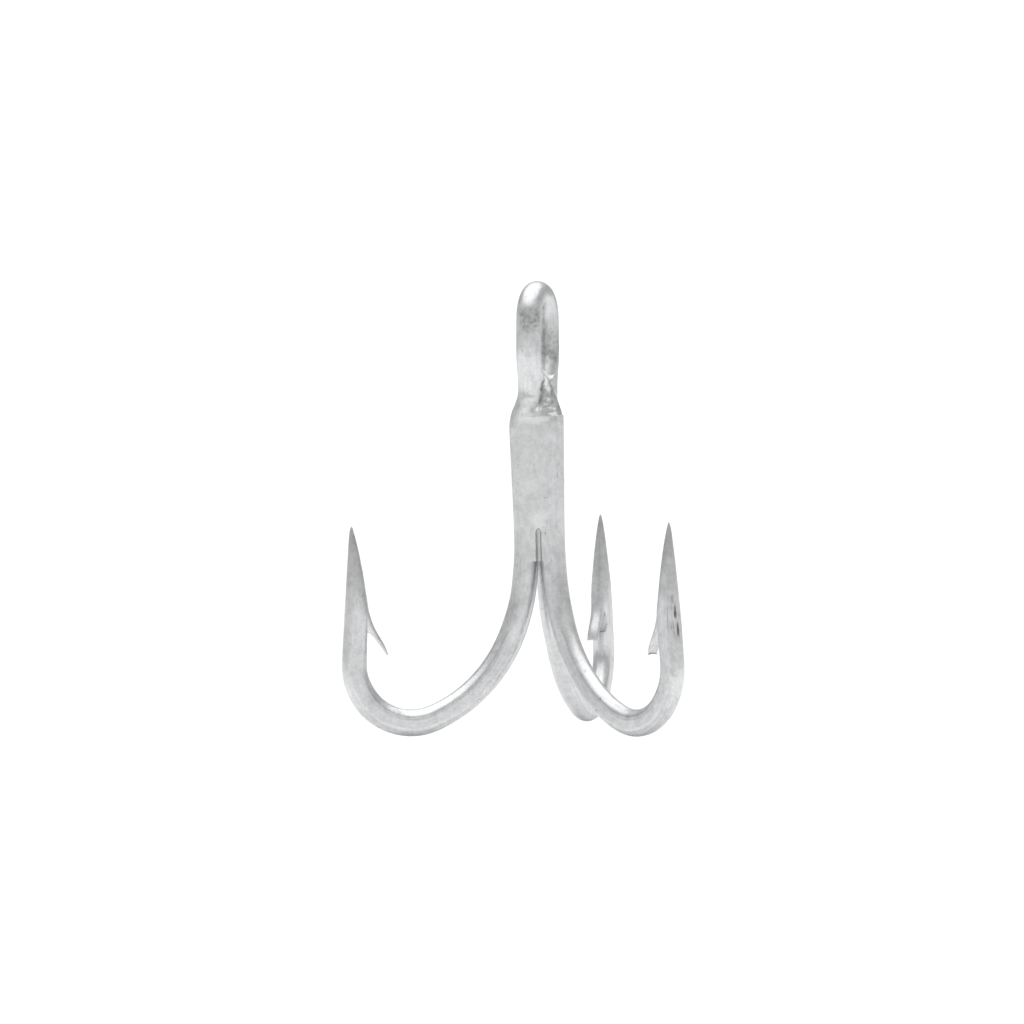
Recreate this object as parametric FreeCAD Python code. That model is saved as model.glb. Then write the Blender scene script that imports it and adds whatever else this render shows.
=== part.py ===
import FreeCAD, Part
import math
import os

# Treble hook. Millimetres, +Z up.
# The origin is on the treble's long axis, level with the lowest points of the three bends.
# One wire makes the left hook, the eye and the right hook. The front hook is a second wire,
# cut off below the eye, and braze fills the space between the three shanks.

# --- Driving dimensions ---
WIRE_DIA = 2.3                  # drawn wire
FORGED_THICKNESS = 1.8          # across the flats that forging leaves on each bend
LEFT_AZIMUTH = 150.0            # directions that the hooks point in, degrees from +X
RIGHT_AZIMUTH = 30.0
FRONT_AZIMUTH = -92.0           # brazed on two degrees off the true third
SHANK_FOOT_RADIUS = 1.46        # shank centreline from the axis, where the bend starts
SHANK_TOP_RADIUS = 1.70         # and at the shoulder: the shanks splay a little
BEND_ARCS = (                   # (centreline radius, degrees turned), from the shank down
    (35.0, 8.3),
    (17.0, 17.0),
    (13.8, 42.3),
    (5.3, 58.5),
    (5.3, 58.5),
)
SPEAR_STRAIGHT = 4.26           # round spear between the bend and the start of the point
POINT_STATIONS = (              # (distance up the point, radius, shift away from the shank)
    (0.0, 1.15, 0.0),
    (3.6, 0.775, 0.37),
    (6.9, 0.35, 0.80),
    (8.25, 0.03, 0.97),
)
SHOULDER_Z = 28.7               # the shanks of the double hook start to close up here
FRONT_CUT_Z = 29.1              # cut end of the front hook's shank
NECK_LOW_Z = 30.7               # the two legs lie side by side from here
NECK_HIGH_Z = 32.0              # to here
EYE_LEG_Z = 34.6                # the legs of the eye are parallel above this
EYE_TOP_Z = 41.5                # top of the eye
NECK_HALF_GAP = 1.175           # half the distance between the leg centrelines
EYE_HALF_GAP = 2.42             # low in the eye; it narrows a little towards its top
EYE_TOP_HALF_GAP = 2.25
NECK_TWIST = 14.7               # the pair of legs twists as it rises, degrees from +X
EYE_TWIST = 28.0
EYE_LEAN = 0.11                 # how far the eye's top leans out of the plane of its legs
NECK_SHIFT_Y = 0.1
NECK_BEND_RADIUS = 2.6
SHANK_BEND_RADIUS = 40.0        # the slight corner between the splayed shank and its bend
BRAZE_FOOT_Z = 18.9
BRAZE_TOP_Z = 31.4
BRAZE_TOP_OUT = 0.6             # how far the fillet still stands out from the axis there
BRAZE_FILLET_RADIUS = 1.10      # braze rounds the wires at slightly less than their radius
BARB_WIDTH = 1.1
FLAT_FADE_LOW_Z = 8.0           # the forged flats run out into the round shank over this
FLAT_FADE_HIGH_Z = 11.5
FORGING_START_OUT = 0.6         # keeps the forging of one bend off the neighbouring shanks
BEND_MIDDLE_OUT = 9.0

# --- Worked out from them ---
WIRE_RADIUS = WIRE_DIA / 2
FORGED_HALF = FORGED_THICKNESS / 2
EYE_CENTRE_TOP_Z = EYE_TOP_Z - WIRE_RADIUS
CUT_REACH = 30.0                # longer than any cut needs


def bend_drop():
    """How far the centreline falls from the start of the bend to its lowest point."""
    heading = -90.0
    drop = 0.0
    for radius, turn in BEND_ARCS:
        end = min(heading + turn, 0.0)
        if heading < 0.0:
            drop += radius * (math.cos(math.radians(end)) - math.cos(math.radians(heading)))
        heading += turn
    return drop


BEND_START_Z = WIRE_RADIUS + bend_drop()


def in_plane(azimuth, out, up, side=0.0):
    """The point out from the axis along the azimuth, up from the floor, and to its left."""
    angle = math.radians(azimuth)
    x = out * math.cos(angle) - side * math.sin(angle)
    y = out * math.sin(angle) + side * math.cos(angle)
    return FreeCAD.Vector(x, y, up)


def heading_vector(degrees):
    """Unit step (out, up) for a heading; -90 is down and 0 is away from the shank."""
    return math.cos(math.radians(degrees)), math.sin(math.radians(degrees))


def bend_corners():
    """Corners (out, up, radius) of the bend's tangent arcs, then its end and end heading."""
    out = SHANK_FOOT_RADIUS
    up = BEND_START_Z
    heading = -90.0
    corners = []
    for radius, turn in BEND_ARCS:
        reach = radius * math.tan(math.radians(turn / 2))
        step = heading_vector(heading)
        out += reach * step[0]
        up += reach * step[1]
        corners.append((out, up, radius))
        heading += turn
        step = heading_vector(heading)
        out += reach * step[0]
        up += reach * step[1]
    return corners, (out, up), heading


def spear_point(along, shift):
    """A point (out, up) beside the spear's centreline, measured from the end of the bend."""
    end, heading = bend_corners()[1:]
    step = heading_vector(heading)
    out = end[0] + along * step[0] + shift * step[1]
    up = end[1] + along * step[1] - shift * step[0]
    return out, up


def hook_corners(azimuth):
    """Corners (point, radius) from the spear's end, round the bend, to the shank's foot."""
    bend = bend_corners()[0]
    out, up = spear_point(SPEAR_STRAIGHT, 0.0)
    corners = [(in_plane(azimuth, out, up), 0.0)]
    for out, up, radius in reversed(bend):
        corners.append((in_plane(azimuth, out, up), radius))
    corners.append((in_plane(azimuth, SHANK_FOOT_RADIUS, BEND_START_Z + 0.5), SHANK_BEND_RADIUS))
    return corners


def rounded_wire(corners):
    """Straight runs joined by tangent arcs, one arc at each corner that has a radius."""
    edges = []
    here = corners[0][0]
    for index in range(1, len(corners) - 1):
        corner, radius = corners[index]
        back = (corners[index - 1][0] - corner).normalize()
        ahead = (corners[index + 1][0] - corner).normalize()
        half_angle = back.getAngle(ahead) / 2
        reach = radius / math.tan(half_angle)
        start = corner + back * reach
        end = corner + ahead * reach
        bisector = (back + ahead).normalize()
        middle = corner + bisector * (radius / math.sin(half_angle) - radius)
        if here.distanceToPoint(start) > 1e-4:
            edges.append(Part.makeLine(here, start))
        edges.append(Part.Arc(start, middle, end).toShape())
        here = end
    edges.append(Part.makeLine(here, corners[-1][0]))
    return Part.Wire(edges)


def tube(corners):
    """Round wire swept along the corners."""
    path = rounded_wire(corners)
    direction = corners[1][0] - corners[0][0]
    section = Part.Wire(Part.makeCircle(WIRE_RADIUS, corners[0][0], direction))
    return path.makePipeShell([section], True, False)


def plate(azimuth, outline, half_width):
    """A flat piece with an outline of (out, up) points in a hook's plane."""
    points = [in_plane(azimuth, out, up, -half_width) for out, up in outline]
    face = Part.Face(Part.makePolygon(points + points[:1]))
    return face.extrude(in_plane(azimuth, 0.0, 0.0, 2 * half_width))


def point(azimuth):
    """The ground point: its outer side runs straight on and its inner side is ground away."""
    heading = bend_corners()[2]
    step = heading_vector(heading)
    direction = in_plane(azimuth, step[0], step[1])
    circles = []
    for along, radius, shift in POINT_STATIONS:
        out, up = spear_point(SPEAR_STRAIGHT + along, shift)
        centre = in_plane(azimuth, out, up)
        circles.append(Part.Wire(Part.makeCircle(radius, centre, direction)))
    return Part.makeLoft(circles, True, True)


def barb(azimuth):
    """The lip raised by the chisel, rooted in the spear and free at its lower end."""
    outline = (
        (16.90, 11.90),
        (16.22, 11.20),
        (15.72, 9.80),
        (14.68, 7.60),
        (14.84, 7.70),
        (15.86, 9.20),
        (16.18, 9.66),
        (16.90, 9.66),
    )
    return plate(azimuth, outline, BARB_WIDTH / 2)


def chisel_cut(azimuth):
    """The shallow bed that the chisel leaves below the barb."""
    outline = (
        (16.22, 9.55),
        (16.45, 9.50),
        (16.64, 8.90),
        (16.66, 7.40),
        (16.45, 5.60),
        (16.00, 7.60),
    )
    return plate(azimuth, outline, WIRE_DIA)


def forging_cut(azimuth, side):
    """What forging takes off one side of a bend, running out on the shank."""
    face = side * FORGED_HALF
    surface = side * WIRE_RADIUS
    clear = side * WIRE_DIA
    section = (
        (face, -1.0),
        (face, FLAT_FADE_LOW_Z),
        (surface, FLAT_FADE_HIGH_Z),
        (clear, FLAT_FADE_HIGH_Z),
        (clear, -1.0),
    )
    ring = [in_plane(azimuth, FORGING_START_OUT, up, offset) for offset, up in section]
    shank_side = Part.Face(Part.makePolygon(ring + ring[:1]))
    shank_side = shank_side.extrude(in_plane(azimuth, BEND_MIDDLE_OUT - FORGING_START_OUT, 0.0))
    section = ((face, -1.0), (face, CUT_REACH), (clear, CUT_REACH), (clear, -1.0))
    ring = [in_plane(azimuth, BEND_MIDDLE_OUT, up, offset) for offset, up in section]
    spear_side = Part.Face(Part.makePolygon(ring + ring[:1]))
    spear_side = spear_side.extrude(in_plane(azimuth, CUT_REACH, 0.0))
    return [shank_side, spear_side]


def finish_hook(shape, azimuth):
    """Point, barb, chisel cut and forging flats on one hook of a swept wire."""
    shape = shape.fuse(point(azimuth))
    shape = shape.cut(chisel_cut(azimuth))
    shape = shape.fuse(barb(azimuth))
    for side in (-1, 1):
        for cutter in forging_cut(azimuth, side):
            shape = shape.cut(cutter)
    return shape.removeSplitter()


def leg_corners(azimuth, sign):
    """Corners of one leg of the double hook, from the shoulder to the side of the eye."""
    neck = math.radians(NECK_TWIST)
    eye = math.radians(EYE_TWIST)
    neck_x = sign * NECK_HALF_GAP * math.cos(neck)
    neck_y = sign * NECK_HALF_GAP * math.sin(neck) + NECK_SHIFT_Y
    eye_x = sign * EYE_HALF_GAP * math.cos(eye)
    eye_y = sign * EYE_HALF_GAP * math.sin(eye)
    top_x = sign * EYE_TOP_HALF_GAP * math.cos(eye) + EYE_LEAN * math.sin(eye)
    top_y = sign * EYE_TOP_HALF_GAP * math.sin(eye) - EYE_LEAN * math.cos(eye)
    return [
        (in_plane(azimuth, SHANK_TOP_RADIUS, SHOULDER_Z), NECK_BEND_RADIUS),
        (FreeCAD.Vector(neck_x, neck_y, NECK_LOW_Z), NECK_BEND_RADIUS),
        (FreeCAD.Vector(neck_x, neck_y, NECK_HIGH_Z), NECK_BEND_RADIUS),
        (FreeCAD.Vector(eye_x, eye_y, EYE_LEG_Z), NECK_BEND_RADIUS),
        (FreeCAD.Vector(top_x, top_y, EYE_CENTRE_TOP_Z), EYE_TOP_HALF_GAP),
    ]


def double_hook():
    """One wire: left hook, up its shank, round the eye, and down to the right hook."""
    left = hook_corners(LEFT_AZIMUTH) + leg_corners(LEFT_AZIMUTH, -1)
    right = hook_corners(RIGHT_AZIMUTH) + leg_corners(RIGHT_AZIMUTH, 1)
    shape = tube(left + right[::-1])
    shape = finish_hook(shape, LEFT_AZIMUTH)
    return finish_hook(shape, RIGHT_AZIMUTH)


def front_shank_top():
    """The cut end's centre: the front shank splays at the same rate as the others."""
    rise = (FRONT_CUT_Z - BEND_START_Z) / (SHOULDER_Z - BEND_START_Z)
    out = SHANK_FOOT_RADIUS + rise * (SHANK_TOP_RADIUS - SHANK_FOOT_RADIUS)
    return in_plane(FRONT_AZIMUTH, out, FRONT_CUT_Z)


def front_hook():
    """The second wire, from its point to its cut end below the eye."""
    shape = tube(hook_corners(FRONT_AZIMUTH) + [(front_shank_top(), 0.0)])
    return finish_hook(shape, FRONT_AZIMUTH)


def rounded_triangle(centres, height):
    """The outline that wraps three circles of the braze's radius, at one height."""
    ring = sorted(centres, key=lambda c: math.atan2(c[1], c[0]))
    edges = []
    starts = []
    ends = []
    for index in range(3):
        x, y = ring[index]
        x_before, y_before = ring[index - 1]
        x_after, y_after = ring[(index + 1) % 3]
        angle_in = math.atan2(y - y_before, x - x_before) - math.pi / 2
        angle_out = math.atan2(y_after - y, x_after - x) - math.pi / 2
        turn = (angle_out - angle_in) % (2 * math.pi)
        on_arc = []
        for part in (0.0, 0.5, 1.0):
            angle = angle_in + part * turn
            dx = BRAZE_FILLET_RADIUS * math.cos(angle)
            dy = BRAZE_FILLET_RADIUS * math.sin(angle)
            on_arc.append(FreeCAD.Vector(x + dx, y + dy, height))
        starts.append(on_arc[0])
        ends.append(on_arc[2])
        edges.append(Part.Arc(*on_arc).toShape())
    outline = []
    for index in range(3):
        outline.append(edges[index])
        outline.append(Part.makeLine(ends[index], starts[(index + 1) % 3]))
    return Part.Wire(outline)


def shank_centres(height):
    """Where the three shank centrelines cross a height between the bends and the shoulder."""
    rise = (height - BEND_START_Z) / (SHOULDER_Z - BEND_START_Z)
    out = SHANK_FOOT_RADIUS + rise * (SHANK_TOP_RADIUS - SHANK_FOOT_RADIUS)
    centres = []
    for azimuth in (LEFT_AZIMUTH, RIGHT_AZIMUTH, FRONT_AZIMUTH):
        centre = in_plane(azimuth, out, height)
        centres.append((centre.x, centre.y))
    return centres


def collar_centres(height):
    """The two legs, and the top of the fillet as it closes in over the front hook's cut end."""
    neck = math.radians(NECK_TWIST)
    rise = min(1.0, (height - SHOULDER_Z) / (NECK_LOW_Z - SHOULDER_Z))
    centres = []
    for azimuth, sign in ((LEFT_AZIMUTH, -1), (RIGHT_AZIMUTH, 1)):
        shoulder = in_plane(azimuth, SHANK_TOP_RADIUS, height)
        neck_x = sign * NECK_HALF_GAP * math.cos(neck)
        neck_y = sign * NECK_HALF_GAP * math.sin(neck) + NECK_SHIFT_Y
        x = shoulder.x + rise * (neck_x - shoulder.x)
        y = shoulder.y + rise * (neck_y - shoulder.y)
        centres.append((x, y))
    closed = (height - FRONT_CUT_Z) / (BRAZE_TOP_Z - FRONT_CUT_Z)
    out = SHANK_TOP_RADIUS + closed * (BRAZE_TOP_OUT - SHANK_TOP_RADIUS)
    fillet = in_plane(FRONT_AZIMUTH, out, height)
    centres.append((fillet.x, fillet.y))
    return centres


def braze(wires):
    """Braze between and around the shanks, with a sloped fillet up to the neck."""
    foot = rounded_triangle(shank_centres(BRAZE_FOOT_Z), BRAZE_FOOT_Z)
    collar = []
    for height in (FRONT_CUT_Z, NECK_LOW_Z, BRAZE_TOP_Z):
        collar.append(rounded_triangle(collar_centres(height), height))
    shape = Part.makeLoft([foot, collar[0]], True, True)
    shape = shape.fuse(Part.makeLoft(collar, True, True))
    for wire in wires:
        shape = shape.cut(wire)
    return shape


def write_step(name, shape):
    """Write one sub-part."""
    shape.exportStep("parts/" + name + ".step")


def main():
    os.makedirs("parts", exist_ok=True)
    double = double_hook()
    front = front_hook()
    write_step("double_hook", double)
    write_step("front_hook", front)
    write_step("braze", braze([double, front]))


main()
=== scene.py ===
import math

import bmesh
import bpy
import numpy as np
from mathutils import Matrix, Vector, noise


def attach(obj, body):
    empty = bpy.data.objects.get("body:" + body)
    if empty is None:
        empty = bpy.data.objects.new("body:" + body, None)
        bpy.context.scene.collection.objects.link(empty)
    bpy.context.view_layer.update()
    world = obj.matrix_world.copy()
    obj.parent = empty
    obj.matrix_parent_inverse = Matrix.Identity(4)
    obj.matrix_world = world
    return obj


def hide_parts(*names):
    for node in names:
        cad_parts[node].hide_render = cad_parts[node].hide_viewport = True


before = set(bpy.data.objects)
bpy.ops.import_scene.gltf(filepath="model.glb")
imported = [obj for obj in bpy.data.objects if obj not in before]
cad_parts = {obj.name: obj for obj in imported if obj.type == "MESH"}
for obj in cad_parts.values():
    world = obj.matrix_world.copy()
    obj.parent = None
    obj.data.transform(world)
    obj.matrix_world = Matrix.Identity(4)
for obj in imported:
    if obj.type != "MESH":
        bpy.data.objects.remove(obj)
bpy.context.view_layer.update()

# Lengths here are millimetres until a mesh is made, which is in metres.
MM = 0.001

# --- The treble's driving dimensions, the same as the solids' ---
WIRE_RADIUS = 1.15
FORGED_HALF = 0.9               # half the bend's thickness across its flats
LEFT, RIGHT, FRONT = 150.0, 30.0, -92.0     # each hook's azimuth, in degrees
SHANK_FOOT_RADIUS = 1.46        # the shanks' distance from the axis at the bend
SHANK_TOP_RADIUS = 1.70         # and at the shoulder
# Radius and turn in degrees of each arc of the bend, from the shank to the spear.
BEND_ARCS = ((35.0, 8.3), (17.0, 17.0), (13.8, 42.3), (5.3, 58.5), (5.3, 58.5))
SPEAR_STRAIGHT = 4.26
POINT_LENGTH = 8.25
SHOULDER_Z = 28.7
FRONT_CUT_Z = 29.1
NECK_LOW_Z, NECK_HIGH_Z = 30.7, 32.0
EYE_LEG_Z = 34.6
EYE_TOP_Z = 41.5
NECK_HALF_GAP, EYE_HALF_GAP, EYE_TOP_HALF_GAP = 1.175, 2.42, 2.25
NECK_TWIST, EYE_TWIST = 14.7, 28.0
EYE_LEAN = 0.11
NECK_SHIFT_Y = 0.1
NECK_BEND_RADIUS = 2.6
SHANK_BEND_RADIUS = 40.0        # the slight bend between the shank and the first arc
SHANK_CORNER_RISE = 0.5         # how far above the first arc its corner is

BEND_LENGTH = sum(radius * math.radians(turn) for radius, turn in BEND_ARCS)
HOOK_LENGTH = POINT_LENGTH + SPEAR_STRAIGHT + BEND_LENGTH

# --- How finely the meshes are cut ---
AROUND = 80
STEP = 0.18
FINE_STEP, FINE_REACH = 0.09, 13.0          # the step this near a tip, past the barb
TIP_STEP, TIP_REACH = 0.03, 0.6
ARC_STEP = 0.02
SOFTENING = 2.6                 # length of wire over which its curvature changes
SOFTENING_STEP = 0.04
DIRECTION_SPAN = 0.03           # a line's direction is read this far to either side
TINY = 1e-9

# --- The wires' section ---
TIP_RADIUS = 0.012              # the point's end, and how far its last vertex stands out
POINT_FULLNESS = 0.68           # 1 would be a cone; less is fuller
POINT_BLEND = 0.07              # softness of the point's join with the full wire
TIP_INWARDS, TIP_INWARDS_OVER = 0.17, 0.45  # the tip comes back in by this, over this length
# Distances from the hook's shank end.
ROUND_UNTIL, FORGED_FROM = 6.4, 10.9
# How far the forging spreads the bend inwards: by this amount, between these distances.
SPREADS = ((0.09, 5.5, 9.5), (0.06, 17.0, 22.0))
SPREAD_END = (27.5, 30.5)
FORGED_SQUEEZE = 0.085          # share by which the forging narrows the bend
SPREAD_SQUEEZE = 0.25           # and the share for each millimetre of spread
ROUND_CLEARANCE = 0.15          # the flats' limit stands this far outside wire that is still round
CORNER_SOFTNESS = 0.04
FLAT_CREASE, CREASE_WIDTH = 0.032, 0.06     # the crease that the dies leave along the flats' edges
CREASE_MIN_SIDE, CREASE_MIN_EDGE = 0.6, 0.05    # no crease where the section has no flat
BED_DEPTH = 0.2                 # the chisel's bed in the inner side, below the barb
BED_START, BED_END = (8.66, 9.26), (9.66, 12.96)    # from the tip
BED_CLEARANCE = 0.02

# --- Unevenness: how far the skin moves, and the size of the noise ---
WIRE_UNEVENNESS = (0.016, 1.6)
BRAZE_UNEVENNESS = (0.008, 1.1)
FILLET_LUMPS = (0.028, 0.5)

WIRE_SHARP_ANGLE = 32           # degrees; edges sharper than this stay sharp

# Rings that round off a cut end: share of the wire's outline, and how far they stand out.
CUT_CAPS = ((0.97, 0.03), (0.9, 0.05), (0.7, 0.055), (0.45, 0.05), (0.2, 0.045))


# ------------ the wires' lines

def unit(v):
    return v / np.linalg.norm(v)


def smooth_step(x, low, high):
    t = np.clip((np.asarray(x, float) - low) / (high - low), 0.0, 1.0)
    return t * t * (3 - 2 * t)


def soft_min(a, b, softness):
    """The smaller of the two, with the corner between them rounded."""
    h = np.clip(0.5 + 0.5 * (b - a) / softness, 0.0, 1.0)
    return b + (a - b) * h - softness * h * (1 - h)


def in_plane(azimuth, out, up, side=0.0):
    """The point out from the axis along the azimuth, up from the floor, and to its left."""
    a = math.radians(azimuth)
    x = out * math.cos(a) - side * math.sin(a)
    y = out * math.sin(a) + side * math.cos(a)
    return np.array([x, y, up])


def bend_drop():
    """How far the centreline falls from the start of the bend to its lowest point."""
    heading = -90.0
    drop = 0.0
    for radius, turn in BEND_ARCS:
        end = min(heading + turn, 0.0)
        if heading < 0.0:
            drop += radius * (math.cos(math.radians(end)) - math.cos(math.radians(heading)))
        heading += turn
    return drop


BEND_START_Z = WIRE_RADIUS + bend_drop()


def hook_corners(azimuth):
    """Corners (point, radius) of one hook, from its tip round the bend to the shank."""
    out, up = SHANK_FOOT_RADIUS, BEND_START_Z
    heading = -90.0
    corners = [(in_plane(azimuth, out, up + SHANK_CORNER_RISE), SHANK_BEND_RADIUS)]
    for radius, turn in BEND_ARCS:
        reach = radius * math.tan(math.radians(turn / 2))
        out += reach * math.cos(math.radians(heading))
        up += reach * math.sin(math.radians(heading))
        corners.append((in_plane(azimuth, out, up), radius))
        heading += turn
        out += reach * math.cos(math.radians(heading))
        up += reach * math.sin(math.radians(heading))
    spear = SPEAR_STRAIGHT + POINT_LENGTH
    out += spear * math.cos(math.radians(heading))
    up += spear * math.sin(math.radians(heading))
    corners.append((in_plane(azimuth, out, up), 0.0))
    return corners[::-1]


def leg_corners(azimuth, sign):
    """Corners of one leg of the double hook, from the shoulder to the side of the eye."""
    neck = NECK_HALF_GAP * in_plane(NECK_TWIST, sign, 0.0) + np.array([0.0, NECK_SHIFT_Y, 0.0])
    eye = EYE_HALF_GAP * in_plane(EYE_TWIST, sign, 0.0)
    top = in_plane(EYE_TWIST, sign * EYE_TOP_HALF_GAP, 0.0, -EYE_LEAN)
    up = np.array([0.0, 0.0, 1.0])
    return [
        (in_plane(azimuth, SHANK_TOP_RADIUS, SHOULDER_Z), NECK_BEND_RADIUS),
        (neck + up * NECK_LOW_Z, NECK_BEND_RADIUS),
        (neck + up * NECK_HIGH_Z, NECK_BEND_RADIUS),
        (eye + up * EYE_LEG_Z, NECK_BEND_RADIUS),
        (top + up * (EYE_TOP_Z - WIRE_RADIUS), EYE_TOP_HALF_GAP),
    ]


def shank_radius(height):
    """The shanks' distance from the axis, between the bends and the shoulder."""
    rise = (height - BEND_START_Z) / (SHOULDER_Z - BEND_START_Z)
    return SHANK_FOOT_RADIUS + rise * (SHANK_TOP_RADIUS - SHANK_FOOT_RADIUS)


def rounded_line(corners):
    """Close samples of straight runs joined by tangent arcs, one arc at each corner."""
    points = [corners[0][0]]
    for index in range(1, len(corners) - 1):
        corner, radius = corners[index]
        back = unit(corners[index - 1][0] - corner)
        ahead = unit(corners[index + 1][0] - corner)
        half = math.acos(np.clip(back @ ahead, -1, 1)) / 2
        start = corner + back * radius / math.tan(half)
        centre = corner + unit(back + ahead) * radius / math.sin(half)
        turn = math.pi - 2 * half
        first = start - centre
        across = -back * radius
        count = max(2, int(turn * radius / ARC_STEP))
        for angle in np.linspace(0, turn, count):
            points.append(centre + first * math.cos(angle) + across * math.sin(angle))
    points.append(corners[-1][0])
    points = np.array(points)
    gaps = np.linalg.norm(np.diff(points, axis=0), axis=1)
    keep = np.concatenate([[True], gaps > 1e-6])
    return points[keep]


def softened(points):
    """The same line, with the steps in its curvature smoothed out as in bent wire."""
    gaps = np.linalg.norm(np.diff(points, axis=0), axis=1)
    along = np.concatenate([[0.0], np.cumsum(gaps)])
    count = int(along[-1] / SOFTENING_STEP) + 1
    spots = np.linspace(0, along[-1], count)
    even = np.stack([np.interp(spots, along, points[:, k]) for k in range(3)], -1)
    half = int(SOFTENING / SOFTENING_STEP / 2)
    weights = np.hanning(2 * half + 3)[1:-1]
    weights = weights / weights.sum()
    before = 2 * even[0] - even[half:0:-1]
    after = 2 * even[-1] - even[-2:-half - 2:-1]
    long = np.concatenate([before, even, after])
    return np.stack([np.convolve(long[:, k], weights, "valid") for k in range(3)], -1)


class Line:
    """A wire's centreline, read by distance along it."""

    def __init__(self, corners):
        self.points = softened(rounded_line(corners))
        gaps = np.linalg.norm(np.diff(self.points, axis=0), axis=1)
        self.along = np.concatenate([[0.0], np.cumsum(gaps)])
        self.length = self.along[-1]

    def at(self, distance):
        return np.stack([np.interp(distance, self.along, self.points[:, k]) for k in range(3)], -1)

    def direction(self, distance):
        ahead = self.at(np.minimum(np.asarray(distance) + DIRECTION_SPAN, self.length))
        behind = self.at(np.maximum(np.asarray(distance) - DIRECTION_SPAN, 0.0))
        step = ahead - behind
        return step / np.linalg.norm(step, axis=-1, keepdims=True)


# ------------ the wires' section

def point_radius(tip_distance):
    """The needle's radius: slim, with slightly rounded sides."""
    share = np.clip(tip_distance, 0.0, None) / POINT_LENGTH
    return soft_min(TIP_RADIUS + WIRE_RADIUS * share ** POINT_FULLNESS, WIRE_RADIUS, POINT_BLEND)


def point_shift(tip_distance):
    """The point's outer side runs straight on, so its centre moves outwards towards the tip."""
    from_tip = np.clip(tip_distance, 0, None)
    edge = WIRE_RADIUS - TIP_INWARDS * np.exp(-from_tip / TIP_INWARDS_OVER)
    return np.maximum(edge - point_radius(tip_distance), 0.0)


def forged_share(tip_distance):
    """1 where the hook is forged flat, running out to 0 in the round shank."""
    return 1 - smooth_step(tip_distance, HOOK_LENGTH - FORGED_FROM, HOOK_LENGTH - ROUND_UNTIL)


def forged_spread(tip_distance):
    """How far the forging has pushed the inner side of the bend inwards."""
    from_shank = HOOK_LENGTH - tip_distance
    spread = sum(amount * smooth_step(from_shank, low, high) for amount, low, high in SPREADS)
    return spread * (1 - smooth_step(from_shank, *SPREAD_END))


def chisel_depth(tip_distance):
    """How deep the chisel's bed is cut into the inner side, below the barb."""
    start = smooth_step(tip_distance, *BED_START)
    return BED_DEPTH * start * (1 - smooth_step(tip_distance, *BED_END))


def hook_section(tip_distance, angle):
    """Offsets (towards the shank, sideways) of the wire's skin near one hook."""
    radius = point_radius(tip_distance)
    forged = forged_share(tip_distance)
    spread = forged_spread(tip_distance)
    inward = radius * np.cos(angle)
    inward = inward + np.maximum(inward, 0) * spread / WIRE_RADIUS
    squeeze = 1 - FORGED_SQUEEZE * forged - SPREAD_SQUEEZE * spread
    side = np.abs(radius * np.sin(angle)) * squeeze
    limit = FORGED_HALF * forged + (WIRE_RADIUS + ROUND_CLEARANCE) * (1 - forged)
    side = soft_min(side, limit, CORNER_SOFTNESS)
    edge = np.sqrt(np.maximum(1 - (limit / (radius * squeeze)) ** 2, 0)) * radius
    from_edge = (np.abs(inward) - edge) / CREASE_WIDTH
    crease = np.exp(-from_edge ** 2) * (side > CREASE_MIN_SIDE)
    side = side - FLAT_CREASE * forged * crease * (edge > CREASE_MIN_EDGE)
    bed = WIRE_RADIUS + BED_CLEARANCE + spread - chisel_depth(tip_distance)
    inward = soft_min(inward, bed, CORNER_SOFTNESS)
    return inward - point_shift(tip_distance), np.sign(np.sin(angle)) * side


# ------------ mesh helpers

def add_object(name, data):
    made = bpy.data.objects.new(name, data)
    bpy.context.scene.collection.objects.link(made)
    return made


def make_object(name, vertices, faces, marks=None):
    """A mesh object from millimetre vertices.

    marks is (along the wire, around it, from the point) at each vertex, kept as two UV maps.
    """
    mesh = bpy.data.meshes.new(name)
    mesh.from_pydata([tuple(v) for v in np.asarray(vertices) * MM], [], faces)
    if marks is not None:
        marks = np.asarray(marks, np.float32)
        corner_vertex = np.zeros(len(mesh.loops), np.int32)
        mesh.loops.foreach_get("vertex_index", corner_vertex)
        for map_name, columns in (("wire", (0, 1)), ("tip", (2, 1))):
            layer = mesh.uv_layers.new(name=map_name)
            layer.data.foreach_set("uv", marks[corner_vertex][:, columns].ravel())
    mesh.update()
    return add_object(name, mesh)


def ring_faces(rings, around, closed=True):
    """Quads between rings of vertices; closed adds a fan at each end to the two vertices after."""
    faces = []
    for i in range(rings - 1):
        for j in range(around):
            k = (j + 1) % around
            a, b = i * around, (i + 1) * around
            faces.append((a + j, a + k, b + k, b + j))
    if closed:
        last, pole = (rings - 1) * around, rings * around
        for j in range(around):
            k = (j + 1) % around
            faces.append((pole, k, j))
            faces.append((pole + 1, last + j, last + k))
    return faces


def boolean(target, tool, operation):
    """Applies an exact boolean to target, and removes the tool."""
    modifier = target.modifiers.new("cut", "BOOLEAN")
    modifier.operation = operation
    modifier.solver = "EXACT"
    modifier.object = tool
    depsgraph = bpy.context.evaluated_depsgraph_get()
    result = bpy.data.meshes.new_from_object(target.evaluated_get(depsgraph))
    target.modifiers.clear()
    target.data = result
    bpy.data.objects.remove(tool)


def smooth_shading(made, angle):
    """Smooth shading, except over edges sharper than the angle in degrees."""
    made.data.shade_smooth()
    made.data.set_sharp_from_angle(angle=math.radians(angle))


# ------------ the wires

def stations(length, tips):
    """Distances along a wire: closer together near each tip and barb."""
    spots = [0.0]
    while spots[-1] < length:
        here = spots[-1]
        nearest = min(here, length - here) if tips == 2 else here
        if nearest < TIP_REACH:
            step = TIP_STEP
        elif nearest < FINE_REACH:
            step = FINE_STEP
        else:
            step = STEP
        spots.append(here + step)
    spots[-1] = length
    return np.array(spots)


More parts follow.
